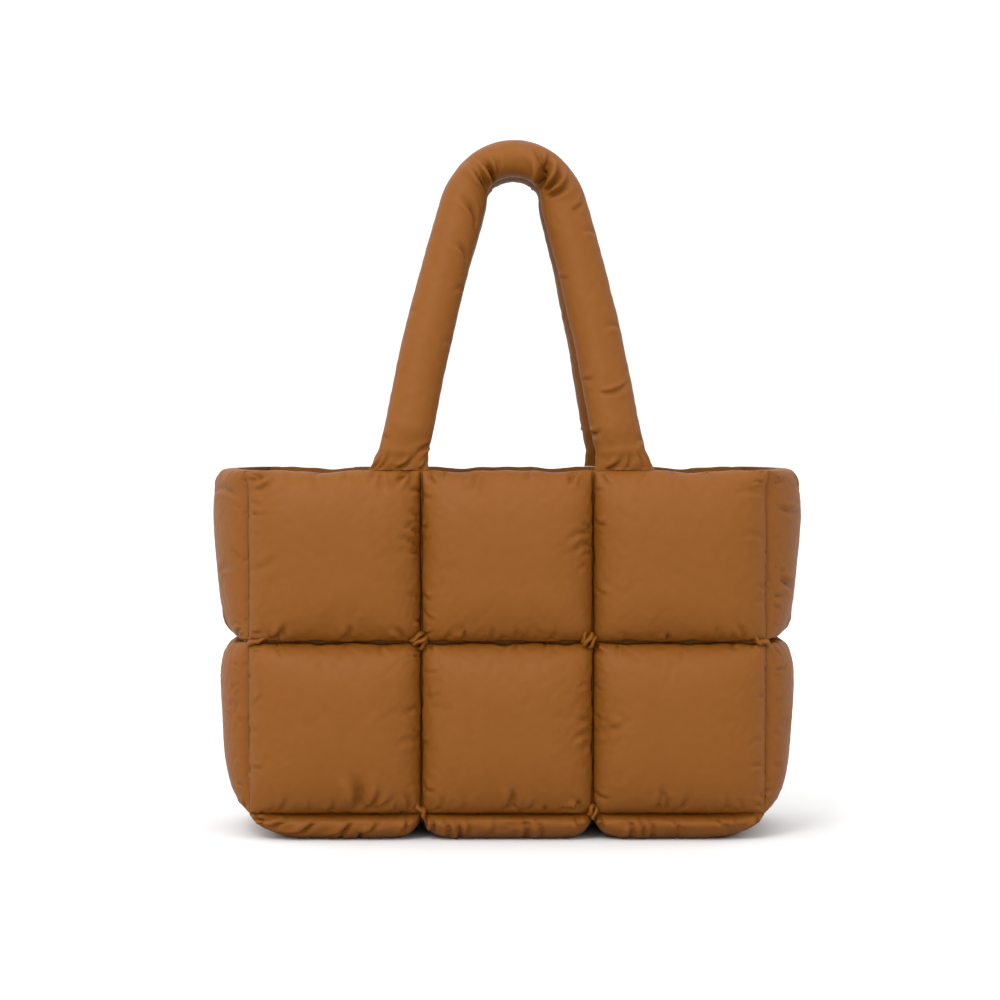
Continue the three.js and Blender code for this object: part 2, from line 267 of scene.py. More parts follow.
# The handle's cross-section from its foot to the top of the arch: width lies in the plane of the arch and
# depth runs from front to back, both as shares of the handle's thickness.
Section = namedtuple("Section", "along width depth")
HANDLE_SECTIONS = [
    Section(0.0, 1.24, 0.32),
    Section(0.03, 1.10, 0.50),
    Section(0.06, 1.02, 0.68),
    Section(0.13, 1.0, 0.92),
    Section(0.45, 1.0, 0.97),
    Section(0.78, 0.97, 1.0),
    Section(0.88, 0.78, 1.04),
    Section(1.0, 0.79, 1.08),
]
FRONT_FEET_SHIFT = (HANDLE_LOW.x + HANDLE_HIGH.x) / 2
BACK_FEET_SHIFT = (BACK_HANDLE_LOW.x + BACK_HANDLE_HIGH.x) / 2
HANDLE_THICKNESS = 0.037
FOOT_HALF = HANDLE_THICKNESS * HANDLE_SECTIONS[0].width / 2

# The rim stays level this far beside a handle's foot.
FOOT_ROOM = 0.004

# Tucks where the seams cross: spare cloth folded into a small ridge that stands in the pit between the
# squares. across and up are counted in squares, turn is in degrees, the rest is in metres.
Tuck = namedtuple("Tuck", "across up turn reach width proud bend")
FRONT_TUCKS = [
    Tuck(0.972, 1.026, 30, 0.0130, 0.0046, 0.0165, 0.0008),
    Tuck(0.992, 1.006, 32, 0.0140, 0.0048, 0.0170, -0.0008),
    Tuck(1.008, 0.980, 40, 0.0100, 0.0038, 0.0140, 0.0008),
    Tuck(1.950, 1.028, 66, 0.0110, 0.0042, 0.0150, 0.0008),
    Tuck(1.972, 1.012, 60, 0.0140, 0.0048, 0.0170, -0.0008),
    Tuck(1.998, 0.996, 52, 0.0120, 0.0042, 0.0155, 0.0008),
    Tuck(0.024, 0.998, 30, 0.0140, 0.0048, 0.0085, -0.0012),
    Tuck(0.062, 1.010, 12, 0.0120, 0.0038, 0.0105, 0.0008),
    Tuck(2.990, 0.998, 152, 0.0140, 0.0048, 0.0080, 0.0014),
    Tuck(2.960, 1.010, 142, 0.0120, 0.0040, 0.0100, -0.0010),
    Tuck(0.990, 0.016, 122, 0.0110, 0.0042, 0.0130, 0.0008),
    Tuck(1.010, -0.006, 100, 0.0100, 0.0040, 0.0120, -0.0006),
    Tuck(1.990, 0.012, 60, 0.0100, 0.0042, 0.0130, 0.0008),
    Tuck(2.012, -0.008, 78, 0.0110, 0.0040, 0.0120, -0.0008),
]

# A square's edge is drawn in by small puckers at random places, this many a metre of seam. They run off at
# random angles, about PUCKER_TURN degrees from square to the seam.
PUCKERS_PER_METRE = 110
PUCKER_TURN = 22
PUCKER_REACH = 0.011
PUCKER_WIDTH = 0.0021
PUCKER_DEPTH = 0.0016

# The filling is a little lumpy.
LUMP_HEIGHT = 0.0005
LUMP_PITCH = 0.035

# The nylon's unevenness: the size of the specks of its dye, of its duller specks and of its crinkles, and the
# height of its crinkles and threads. LEAST_NYLON is the least share of the usual colour in a speck, which is
# deep nylon for the rest. ROUGHNESS_SPREAD is the most by which a speck is duller or glossier than usual, and
# THREAD_STRENGTH is how strongly the threads show in the shine.
DYE_SPECKS = 0.009
LEAST_NYLON = 0.72
DULL_SPECKS = 0.006
ROUGHNESS_SPREAD = 0.06
CRINKLE_SIZE = 0.004
CRINKLE_HEIGHT = 0.0004
THREAD_HEIGHT = 0.00005
THREAD_STRENGTH = 0.35

# The sky is brightest towards the upper left in front of the bag, where the soft key lamp hangs as well.
BRIGHT_SKY = (-0.32, -0.6, 0.6)
KEY_PLACE = (-0.8, -1.85, 1.9)
KEY_SIZE = 0.9
LAMP_AIM = (0, 0, 0.25)

# The camera aims this far in front of the front seams.
AIM_FORWARD = 0.02


def length(name, description, default):
    return bpy.props.FloatProperty(
        name=name, description=description, default=default, unit="LENGTH", precision=4
    )


def number(name, description, default):
    return bpy.props.FloatProperty(name=name, description=description, default=default, precision=4)


def colour(name, description, default):
    return bpy.props.FloatVectorProperty(
        name=name, description=description, default=default, subtype="COLOR", size=3, min=0, max=1
    )


class QuiltSizes(bpy.types.PropertyGroup):
    """Sizes of the quilted walls"""

    square_width: length(
        "Square width", "From seam to seam across the front", 2 * (FRONT_HIGH.x - RIM_INSET) / COLUMNS
    )
    square_height: length("Square height", "From seam to seam up the wall", 0.13)
    depth: length("Depth", "Between the corner seams of a gusset", 2 * (GUSSET_HIGH.y - RIM_INSET))
    rim_height: length("Rim height", "From the floor to the rim", FRONT_HIGH.z)
    rim_roll: length("Rim roll", "Height over which the wall thickens into the rim", 0.016)
    rim_ripple: length("Rim ripple", "Rise and fall of the slack rim", 0.0018)
    ripple_pitch: length("Ripple pitch", "Length of one ripple of the rim", 0.092)
    panel_puff: length("Panel puff", "Swell of a front or back square", 0.025)
    gusset_puff: length("Gusset puff", "Swell of a gusset square", 0.017)
    low_gusset_fuller: number(
        "Low gusset fuller", "Swell of a lower gusset square against an upper one", 1.28
    )
    base_puff: length("Base puff", "Swell of a base square before the floor flattens it", 0.025)
    base_lip: length("Base lip", "How far a base square bulges past its own seam", 0.013)
    lining_puff: length("Lining puff", "Swell of each square towards the inside", 0.005)
    gusset_flare: length("Gusset flare", "How far the rim of a gusset bows outwards", 0.02)
    seam_sag: length("Seam sag", "How far the upper squares hang over the middle seam", 0.0016)
    seam_gap: length("Seam gap", "Left open on each side of a seam's mouth", 0.0008)
    level_gap: length("Level gap", "Left open on each side of the middle seam's mouth", 0.0014)
    seam_waver: length("Seam waver", "How far the mouth of a seam wanders", 0.0007)


class HandleSizes(bpy.types.PropertyGroup):
    """Sizes of the stuffed handles"""

    rise: length("Rise", "From the rim to the middle of the arch's tube", 0.24)
    spread: length("Spread", "Between the middles of the two feet", 0.172)
    arch_radius: length("Arch radius", "Of the middle line", 0.038)
    arch_shift: length("Arch shift", "Of the tops of both handles, to the right of the middle", 0.0052)
    thickness: length("Thickness", "Of the stuffed tube", HANDLE_THICKNESS)
    top_gap: length("Top gap", "Between the two handles where they lean together", 0.002)
    leg_bow: length("Leg bow", "How far a leg bows outwards half way up", 0.0026)
    foot_rise: length("Foot rise", "Height over which a foot fills out to the full tube", 0.04)


class ClothLook(bpy.types.PropertyGroup):
    """Colour and finish of the nylon"""

    nylon: colour("Nylon", "Colour of the shell and lining", (0.158, 0.0515, 0.0052))
    nylon_deep: colour("Deep nylon", "What the uneven dye tends to in places", (0.090, 0.0250, 0.0018))
    roughness: number("Roughness", "Of the calendered nylon", 0.55)
    gloss: number("Gloss", "Strength of the mirror-like part of the shine", 0.13)
    crinkle: number("Crinkle", "Strength of the fine crinkles", 0.08)
    weave_pitch: length("Weave pitch", "Between neighbouring threads", 0.0005)


class StudioLook(bpy.types.PropertyGroup):
    """Camera, floor and light"""

    camera_distance: length("Camera distance", "From the middle of the bag", 2.2)
    camera_height: length("Camera height", "Above the floor", 0.33)
    camera_aside: length("Camera aside", "From the bag's middle, to the left where negative", -0.0055)
    camera_lens: number("Lens", "Focal length in millimetres", 101.0)
    aim_height: length("Aim height", "Height on the bag's front that the camera looks at", 0.26)
    floor: colour("Floor", "Colour of the floor", (0.60, 0.60, 0.60))
    floor_reach: length("Floor reach", "From the bag to the floor's edge", 60.0)
    sky_strength: number("Sky strength", "Of the light from all round", 1.59)
    sky_slope: number("Sky slope", "How much brighter the sky is at the upper left", 0.9)
    key_power: number("Key power", "Of the soft lamp at the upper left, in watts", 30.0)


def smooth_step(share):
    s = np.clip(share, 0, 1)
    return s * s * (3 - 2 * s)


def bell(distance, width):
    return np.exp(-((distance / width) ** 2))


def in_square(coordinate, count):
    """Splits a coordinate counted in squares into the square's number and the share across it."""
    square = np.clip(np.floor(coordinate + 1e-9), 0, count - 1)
    return square, coordinate - square


def on_seam(coordinate):
    """Whether a coordinate counted in squares lies on a seam."""
    return np.abs(coordinate - np.round(coordinate)) < 1e-5


def crowded(coordinate, count):
    """Moves evenly spaced places towards the seams."""
    square, share = in_square(coordinate, count)
    return square + share - SHELL_CROWDING * np.sin(2 * np.pi * share) / (2 * np.pi)


def swell(coordinate, count, at_an_edge=STEEP_AT_AN_EDGE, beside_a_square=STEEP_BESIDE_A_SQUARE):
    """Swell of a stuffed square, 0 on its seams and 1 in its middle."""
    square, share = in_square(coordinate, count)
    outermost = np.where(share < 0.5, square == 0, square == count - 1)
    steepness = np.where(outermost, at_an_edge, beside_a_square)
    return np.sqrt(np.maximum(0, 1 - np.abs(2 * share - 1) ** steepness))


def lining_swell(quilt, across, columns, up, rows):
    """Swell of a square's lining, 0 on its seams and whole in its middle."""
    a = in_square(across, columns)[1]
    b = in_square(up, rows)[1]
    return quilt.lining_puff * 16 * a * (1 - a) * b * (1 - b)


def spread_evenly(evenly, count, size, puff):
    """Moves evenly counted places so that they lie evenly along the swelling cloth of each square."""
    square, share = in_square(evenly, count)
    moved = np.zeros_like(evenly)
    fine = np.linspace(0, 1, 1200)
    for number_of_square in range(count):
        rise = puff * swell(np.minimum(number_of_square + fine, count - 1e-6), count)
        along = np.concatenate([[0], np.cumsum(np.hypot(np.diff(fine) * size, np.diff(rise)))])
        here = square == number_of_square
        moved[here] = number_of_square + np.interp(share[here] * along[-1], along, fine)
    return moved


def half_wall(quilt, height):
    """Half the wall's thickness on its seams, thicker towards the rim."""
    wall_height = ROWS * quilt.square_height
    roll = smooth_step((height - wall_height + quilt.rim_roll) / quilt.rim_roll)
    return (SEAM_THICKNESS + (RIM_THICKNESS - SEAM_THICKNESS) * roll) / 2


def mitre(share, side, half):
    """How far a point moves outwards so that the panel's edge meets the next panel's in a mitre."""
    return (2 * share - 1) * (side * half - MITRE_GAP)


def base_height(quilt):
    return quilt.rim_height - ROWS * quilt.square_height


def half_front(quilt):
    return COLUMNS / 2 * quilt.square_width


def rim_ripple(quilt, x):
    """The rim ripples between the handles' feet, and is level under them."""
    foot_x = (HANDLE_HIGH.x - HANDLE_LOW.x) / 2 - FOOT_HALF
    from_foot = np.maximum(0, np.abs(np.abs(x) - foot_x) - FOOT_HALF - FOOT_ROOM)
    loose = smooth_step(from_foot / FOOT_HALF) * smooth_step((half_front(quilt) - np.abs(x)) / FOOT_HALF)
    even_waves = 0.5 - 0.5 * np.cos(2 * np.pi * x / quilt.ripple_pitch)
    # Two waves that never fall in step, so that no two ripples are alike.
    uneven_waves = 0.3 * np.sin(x / 0.0047) * np.sin(x / 0.0131)
    return -quilt.rim_ripple * loose * (even_waves + uneven_waves)


def panel_surface(quilt, across, up, side):
    """Points of the front wall at places counted in squares. side is 1 for the shell, -1 for the lining."""
    half = half_wall(quilt, up * quilt.square_height)
    x = (across - COLUMNS / 2) * quilt.square_width + mitre(across / COLUMNS, side, half)
    z = base_height(quilt) + up * quilt.square_height + (1 - up / ROWS) * (MITRE_GAP - side * half)
    z = z + (up / ROWS) ** 4 * rim_ripple(quilt, x)
    puff = quilt.panel_puff * swell(across, COLUMNS) * swell(up, ROWS)
    lining = half + lining_swell(quilt, across, COLUMNS, up, ROWS)
    y = (-half - puff if side > 0 else lining) - quilt.depth / 2
    return np.stack([x, y, z], axis=1)


def gusset_surface(quilt, across, up, side):
    """Points of the right end wall, whose rim bows outwards."""
    half = half_wall(quilt, up * quilt.square_height)
    y = (across - 0.5) * quilt.depth + mitre(across, side, half)
    z = base_height(quilt) + up * quilt.square_height + (1 - up / ROWS) * (MITRE_GAP - side * half)
    bow = quilt.gusset_flare * (up / ROWS) ** FLARE_STEEPNESS * 4 * across * (1 - across)
    fuller = np.where(up < 1, quilt.low_gusset_fuller, 1)
    puff = quilt.gusset_puff * fuller * swell(across, 1) * swell(up, ROWS)
    out = half + puff if side > 0 else -half - lining_swell(quilt, across, 1, up, ROWS)
    return np.stack([half_front(quilt) + bow + out, y, z], axis=1)


def base_surface(quilt, across, back, side):
    """Points of the base, whose squares bulge past their seams and are flattened by the floor."""
    half = SEAM_THICKNESS / 2
    x = (across - COLUMNS / 2) * quilt.square_width + mitre(across / COLUMNS, side, half)
    y = (0.5 - back) * quilt.depth - mitre(back, side, half)
    if side < 0:
        lining = lining_swell(quilt, across, COLUMNS, back, 1)
        return np.stack([x, y, base_height(quilt) + half + lining], axis=1)
    along = swell(across, COLUMNS, BASE_STEEP_AT_AN_END, BASE_STEEP_BESIDE_A_SQUARE)
    fullness = along * swell(back, 1, STEEP_BESIDE_A_SQUARE)
    shoulder = np.sin(np.pi / 2 * np.minimum(1, fullness / LIP_FROM))
    underside = np.sqrt(1 - np.maximum(0, (fullness - UNDERSIDE_FROM) / (1 - UNDERSIDE_FROM)) ** 2)
    bulge = quilt.base_lip * along * shoulder * underside * np.sign(0.5 - back)
    z = np.maximum(0, base_height(quilt) - half - quilt.base_puff * fullness)
    return np.stack([x, y + bulge, z], axis=1)


def coordinates(mesh):
    flat = np.zeros(len(mesh.vertices) * 3, np.float32)
    mesh.vertices.foreach_get("co", flat)
    return flat.reshape(-1, 3).astype(float)


def normals(mesh):
    flat = np.zeros(len(mesh.vertices) * 3, np.float32)
    mesh.vertex_normals.foreach_get("vector", flat)
    return flat.reshape(-1, 3).astype(float)


def place(mesh, points):
    mesh.vertices.foreach_set("co", points.astype(np.float32).ravel())
    mesh.update()


def shown(mesh):
    piece = bpy.data.objects.new(mesh.name, mesh)
    bpy.context.scene.collection.objects.link(piece)
    return piece


def flat_grid(name, lengthways, crossways):
    """A flat grid of cloth with so many facets, and each vertex's shares along and across it."""
    bm = bmesh.new()
    bmesh.ops.create_grid(bm, x_segments=lengthways, y_segments=crossways, size=1)
    mesh = bpy.data.meshes.new(name)
    bm.to_mesh(mesh)
    bm.free()
    places = coordinates(mesh)
    return mesh, (places[:, 0] + 1) / 2, (places[:, 1] + 1) / 2


def cloth_grid(name, columns, rows, steps):
    """A flat grid of cloth, and each vertex's place counted in squares."""
    mesh, across, up = flat_grid(name, columns * steps, rows * steps)
    return mesh, across * columns, up * rows


def map_cloth(mesh, across, up):
    """Gives the mesh a UV map in metres of cloth, for the weave to follow."""
    corners = np.zeros(len(mesh.loops), np.int32)
    mesh.loops.foreach_get("vertex_index", corners)
    uv_layer = mesh.uv_layers.new(name="cloth")
    uv_layer.data.foreach_set("uv", np.stack([across, up], axis=1)[corners].astype(np.float32).ravel())


def curve_weights(places, steps, spans):
    """Weights that read a smooth curve through evenly spaced points. It keeps a corner at each seam."""
    span, share = in_square(places, spans)
    along = share * steps
    left = np.minimum(np.floor(along), steps - 1)
    f = along - left
    weights = np.zeros((len(places), steps * spans + 1))
    near_points = (
        (-1, -0.5 * f + f**2 - 0.5 * f**3),
        (0, 1 - 2.5 * f**2 + 1.5 * f**3),
        (1, 0.5 * f + 2 * f**2 - 1.5 * f**3),
        (2, -0.5 * f**2 + 0.5 * f**3),
    )
    for offset, weight in near_points:
        index = (span * steps + np.clip(left + offset, 0, steps)).astype(int)
        np.add.at(weights, (np.arange(len(places)), index), weight)
    return weights


def inflate(mesh, pinned, rest, filling):
    """Fills a sheet of cloth with air and returns where its points come to lie."""
    piece = shown(mesh)
    group = piece.vertex_groups.new(name="seams")
    group.add([int(i) for i in np.nonzero(pinned)[0]], 1.0, "REPLACE")
    piece.shape_key_add(name="start")
    cut = piece.shape_key_add(name="cut")
    cut.data.foreach_set("co", rest.astype(np.float32).ravel())
    modifier = piece.modifiers.new("cloth", "CLOTH")
    settings = modifier.settings
    settings.quality = 5
    settings.mass = 0.15
    settings.air_damping = 2.0
    settings.tension_stiffness = 15
    settings.compression_stiffness = 15
    settings.shear_stiffness = 5
    settings.bending_stiffness = filling.bending
    settings.tension_damping = 5
    settings.compression_damping = 5
    settings.shear_damping = 5
    settings.bending_damping = 0.5
    settings.vertex_group_mass = group.name
    settings.rest_shape_key = cut
    settings.use_pressure = True
    settings.uniform_pressure_force = filling.pressure
    settings.use_pressure_volume = True
    settings.target_volume = 0
    settings.effector_weights.gravity = 0
    modifier.collision_settings.use_collision = False
    modifier.point_cache.frame_start = 1
    modifier.point_cache.frame_end = filling.frames
    scene = bpy.context.scene
    for step in range(1, filling.frames + 1):
        scene.frame_set(step)
    evaluated = piece.evaluated_get(bpy.context.evaluated_depsgraph_get())
    settled = coordinates(evaluated.to_mesh())
    evaluated.to_mesh_clear()
    scene.frame_set(1)
    bpy.data.objects.remove(piece)
    return settled


def capped(points, start, limit):
    """Keeps each point within a limit of where it started."""
    move = points - start
    far = np.linalg.norm(move, axis=1, keepdims=True)
    return start + move * (limit * np.tanh(far / limit) / np.maximum(far, 1e-9))


def crease_relief(places, creases, square):
    """How far the cloth stands up, or falls in where negative, beside creases at places in metres.

    s is how far along a crease a place lies, as a share of its reach, and t is how far beside it, in widths.
    The cloth falls in more steeply, and its crest is higher, where t is positive.
    """
    relief = np.zeros(len(places))
    for crease in creases:
        turn = math.radians(crease.turn)
        along = np.array([math.cos(turn), math.sin(turn)])
        off = places - np.array([crease.across * square[0], crease.up * square[1]])
        s = (off @ along) / crease.reach
        bend = 0.12 * crease.reach * np.sin(math.pi * s)
        d = off @ np.array([-along[1], along[0]]) + bend
        strength = smooth_step(s / 0.2) * smooth_step((1 - s) / 0.6)
        t = d / (crease.width * (0.6 + 0.5 * np.clip(s, 0, 1)))
        valley = np.exp(-(np.abs(t * np.where(t > 0, 1.8, 1.1)) ** 1.2))
        crest = 0.6 * bell(t - 1.3, 0.9) + 0.25 * bell(t + 2.0, 1.1)
        relief -= crease.depth * strength * (valley - crest * smooth_step(s / 0.45))
    return relief


def random_puckers(columns, rows, square, seed):
    """Small puckers at random places along every seam."""
    dice = np.random.default_rng(seed)
    puckers = []
    for line in range(rows + 1):
        for _ in range(int(PUCKERS_PER_METRE * columns * square[0])):
            side = dice.choice([-1, 1])
            puckers.append((dice.uniform(0, columns), line, side * 90 + dice.normal(0, PUCKER_TURN)))
    for line in range(columns + 1):
        for _ in range(int(PUCKERS_PER_METRE * rows * square[1])):
            side = dice.choice([0, 180])
            puckers.append((line, dice.uniform(0, rows), side + dice.normal(0, PUCKER_TURN)))
    return [
        Crease(
            across, up, turn, PUCKER_REACH * dice.uniform(0.5, 1.6),
            PUCKER_WIDTH * dice.uniform(0.7, 1.4), PUCKER_DEPTH * dice.uniform(0.2, 1.5),
        )
        for across, up, turn in puckers
    ]


def lumpiness(points):
    """How full the filling is at each point, from about -1 to 1."""
    return np.array([noise.noise(Vector(point) / LUMP_PITCH) for point in points])


# A wall's cut, its shape, and where its cloth may go: places gives a point's place on the wall in metres,
# limited moves points to where the neighbouring squares and walls leave room, and puckering is the depth of
# the small puckers against PUCKER_DEPTH.
Wall = namedtuple(
    "Wall", "name columns rows square puff surface places limited creases puckering filling seed"
)


def wander(quilt, along, seam):
    """How far the mouth of a seam wanders sideways at places along it, in waves that never fall in step."""
    long_waves = np.sin(2 * np.pi * along / 0.041 + 1.7 * seam)
    short_waves = 0.7 * np.sin(2 * np.pi * along / 0.0173 + 2.9 * seam)
    ripples = 0.4 * np.sin(2 * np.pi * along / 0.0091 + seam)
    return quilt.seam_waver * (long_waves + short_waves + ripples)


def uneven(along):
    """How wide a seam's mouth is at places along it, against its usual width."""
    return 1 + 0.5 * np.sin(2 * np.pi * along / 0.047 + 0.8) + 0.25 * np.sin(2 * np.pi * along / 0.0157)


def between_seams(position, places, count, pitch, gap, shift):
    """Keeps a coordinate between its square and the next ones, whose seams are shifted by shift(number)."""
    square = in_square(places, count)[0]
    low = np.where(square == 0, -np.inf, square * pitch + gap)
    high = np.where(square == count - 1, np.inf, (square + 1) * pitch - gap)
    for seam in range(1, count):
        moved = shift(seam)
        low = low + np.where(square == seam, moved, 0)
        high = high + np.where(square + 1 == seam, moved, 0)
    return np.clip(position, low, high)


def panel_places(quilt, points, *cloth_place):
    """Places on the front wall, from its left end and its bottom seam."""
    return np.stack([points[:, 0] + half_front(quilt), points[:, 2] - base_height(quilt)], axis=1)


def panel_limited(quilt, points, across, up, free):
    """Front squares meet along their seams, the upper ones hanging over the lower ones a little."""
    places = panel_places(quilt, points)
    proud = -points[:, 1] - quilt.depth / 2
    outward = np.clip(proud / quilt.panel_puff, 0, 1)
    x = between_seams(
        places[:, 0], across, COLUMNS, quilt.square_width, quilt.seam_gap * uneven(places[:, 1]),
        lambda seam: outward * wander(quilt, places[:, 1], seam),
    )
    z = between_seams(
        places[:, 1], up, ROWS, quilt.square_height, quilt.level_gap * uneven(places[:, 0]),
        lambda seam: outward * (wander(quilt, places[:, 0], seam + 7) - quilt.seam_sag),
    )
    reach = half_front(quilt) + proud - MITRE_GAP
    x = np.clip(x - half_front(quilt), -reach, reach)
    y = np.minimum(points[:, 1], -quilt.depth / 2 - SEAM_THICKNESS / 2)
    z = np.clip(z, MITRE_GAP - SEAM_THICKNESS / 2, ROWS * quilt.square_height)
    moved = np.stack([x, y, z + base_height(quilt)], axis=1)
    return np.where(free[:, None], moved, points)


def gusset_places(quilt, points, *cloth_place):
    """Places on the right end wall, from its front edge and its bottom seam."""
    return np.stack([points[:, 1] + quilt.depth / 2, points[:, 2] - base_height(quilt)], axis=1)


def gusset_limited(quilt, points, across, up, free):
    """The two squares of a gusset meet along its middle seam."""
    places = gusset_places(quilt, points)
    proud = points[:, 0] - half_front(quilt)
    outward = np.clip(proud / quilt.gusset_puff, 0, 1)
    z = between_seams(
        places[:, 1], up, ROWS, quilt.square_height, quilt.level_gap * uneven(places[:, 0]),
        lambda seam: outward * (wander(quilt, places[:, 0], seam + 3) - quilt.seam_sag),
    )
    reach = quilt.depth / 2 + proud - MITRE_GAP
    z = np.clip(z, MITRE_GAP - SEAM_THICKNESS / 2, ROWS * quilt.square_height)
    moved = np.stack([points[:, 0], np.clip(points[:, 1], -reach, reach), z + base_height(quilt)], axis=1)
    return np.where(free[:, None], moved, points)


def base_places(quilt, points, across, back):
    """Places along the base's cloth, because its sides stand nearly upright."""
    return np.stack([across * quilt.square_width, np.minimum(back, 1 - back) * quilt.depth], axis=1)


def base_limited(quilt, points, across, back, free):
    """The base squares stay above the floor, below the walls and beside each other."""
    places = base_places(quilt, points, across, back)
    hanging = base_height(quilt) - points[:, 2]
    outward = np.clip(hanging / base_height(quilt), 0, 1)
    x = between_seams(
        points[:, 0] + half_front(quilt), across, COLUMNS, quilt.square_width, quilt.seam_gap,
        lambda seam: outward * wander(quilt, places[:, 1], seam + 11),
    )
    z = np.clip(points[:, 2], 0, base_height(quilt) - SEAM_THICKNESS / 2)
    moved = np.stack([x - half_front(quilt), points[:, 1], z], axis=1)
    return np.where(free[:, None], moved, points)


def settled_cloth(wall):
    """The wall's shell as the air in it leaves it, as an array of points, row by row."""
    sheet, even_across, even_up = cloth_grid(wall.name + "_cut", wall.columns, wall.rows, CUT_STEPS)
    start = wall.surface(
        spread_evenly(even_across, wall.columns, wall.square[0], wall.puff),
        spread_evenly(even_up, wall.rows, wall.square[1], wall.puff),
        1,
    )
    settled = start
    shake = np.random.default_rng(wall.seed).normal(0, SHAKE, start.shape)
    pinned = on_seam(even_across) | on_seam(even_up)
    place(sheet, np.where(pinned[:, None], start, start + shake))
    flat = np.zeros_like(even_up)
    rest = np.stack([even_across * wall.square[0], even_up * wall.square[1], flat], axis=1)
    settled = inflate(sheet, pinned, rest * wall.filling.slack, wall.filling)
    settled = capped(settled, start, wall.filling.most_moved)
    rows = np.zeros((wall.rows * CUT_STEPS + 1, wall.columns * CUT_STEPS + 1, 3))
    rows[np.rint(even_up * CUT_STEPS).astype(int), np.rint(even_across * CUT_STEPS).astype(int)] = settled
    return rows


def quilted(wall):
    """A closed quilted wall: an inflated, creased shell and a lining, joined along their edges."""
    shell, even_across, even_up = cloth_grid(wall.name, wall.columns, wall.rows, SHELL_STEPS)
    sideways = crowded(np.linspace(0, wall.columns, wall.columns * SHELL_STEPS + 1), wall.columns)
    upwards = crowded(np.linspace(0, wall.rows, wall.rows * SHELL_STEPS + 1), wall.rows)
    finer = np.einsum(
        "ai,bj,ijk->abk", curve_weights(upwards, CUT_STEPS, wall.rows),
        curve_weights(sideways, CUT_STEPS, wall.columns), settled_cloth(wall), optimize=True,
    )
    column = np.rint(even_across * SHELL_STEPS).astype(int)
    row = np.rint(even_up * SHELL_STEPS).astype(int)
    across, up = sideways[column], upwards[row]
    map_cloth(shell, across * wall.square[0], up * wall.square[1])
    points = finer[row, column]
    place(shell, points)
    free = ~(on_seam(across) | on_seam(up))
    places = wall.places(points, across, up)
    relief = crease_relief(places, wall.creases, wall.square)
    puckers = random_puckers(wall.columns, wall.rows, wall.square, wall.seed)
    relief += wall.puckering * crease_relief(places, puckers, wall.square)
    relief += LUMP_HEIGHT * lumpiness(points)
    points = points + normals(shell) * (relief * free)[:, None]
    place(shell, wall.limited(points, across, up, free))
    return joined_to_lining(shell, wall)


def joined_to_lining(shell, wall):
    """Adds the lining behind a shell and closes the wall along its edges."""
    lining, across, up = cloth_grid(wall.name + "_lining", wall.columns, wall.rows, LINING_STEPS)
    map_cloth(lining, across * wall.square[0], up * wall.square[1])
    place(lining, wall.surface(across, up, -1))
    bm = bmesh.new()
    bm.from_mesh(lining)
    bmesh.ops.reverse_faces(bm, faces=bm.faces)
    bm.from_mesh(shell)
    edges = [edge for edge in bm.edges if edge.is_boundary]
    for edge in edges:
        edge.smooth = False
    bmesh.ops.bridge_loops(bm, edges=edges)
    bm.to_mesh(shell)
    bm.free()
    bpy.data.meshes.remove(lining)
    return shell


def add_tucks(mesh, tucks, quilt):
    """Adds the folded ridges that stand out of the pits where a panel's seams cross."""
    bm = bmesh.new()
    bm.from_mesh(mesh)
    uv_layer = bm.loops.layers.uv["cloth"]
    for tuck in tucks:
        turn = math.radians(tuck.turn)
        middle_x = (tuck.across - COLUMNS / 2) * quilt.square_width
        middle_z = base_height(quilt) + tuck.up * quilt.square_height
        ridge = bmesh.ops.create_uvsphere(bm, u_segments=20, v_segments=14, radius=1)["verts"]
        for vert in ridge:
            along, outward, aside = vert.co
            s = along * tuck.reach / 2
            w = aside * (1 + 0.5 * along * along) * tuck.width / 2 + tuck.bend * math.sin(math.pi * along)
            vert.co = (
                middle_x + s * math.cos(turn) - w * math.sin(turn),
                -(quilt.depth + SEAM_THICKNESS) / 2 - (outward * 0.5 + 0.42) * tuck.proud,
                middle_z + s * math.sin(turn) + w * math.cos(turn),
            )
        faces = {face for vert in ridge for face in vert.link_faces}
        bmesh.ops.reverse_faces(bm, faces=list(faces))
        for face in faces:
            for loop in face.loops:
                loop[uv_layer].uv = (loop.vert.co.x, loop.vert.co.z)
    bm.to_mesh(mesh)
    bm.free()


def handle_path(handle, share):
    """A handle's middle line in its own plane, from the middle of the rim, its direction and its length."""
    arch_height = handle.rise - handle.arch_radius
    foot_x = handle.spread / 2
    to_foot = math.hypot(foot_x, arch_height)
    leg = math.sqrt(to_foot**2 - handle.arch_radius**2)
    tangent_angle = math.acos(handle.arch_radius / to_foot) - math.atan2(arch_height, foot_x)
    arc = handle.arch_radius * (math.pi - 2 * tangent_angle)
    total = 2 * leg + arc
    distance = np.minimum(share, 1 - share) * total
    mirrored = np.where(share > 0.5, -1, 1)
    turn = tangent_angle + np.maximum(0, distance - leg) / handle.arch_radius
    arch_x = -handle.arch_radius * np.cos(turn)
    arch_z = arch_height + handle.arch_radius * np.sin(turn)
    direction = np.stack([np.sin(turn), np.cos(turn)], axis=1)
    middle = np.stack([arch_x, arch_z], axis=1) - direction * np.maximum(0, leg - distance)[:, None]
    middle[:, 0] *= mirrored
    direction[:, 1] *= mirrored
    return middle, direction, total


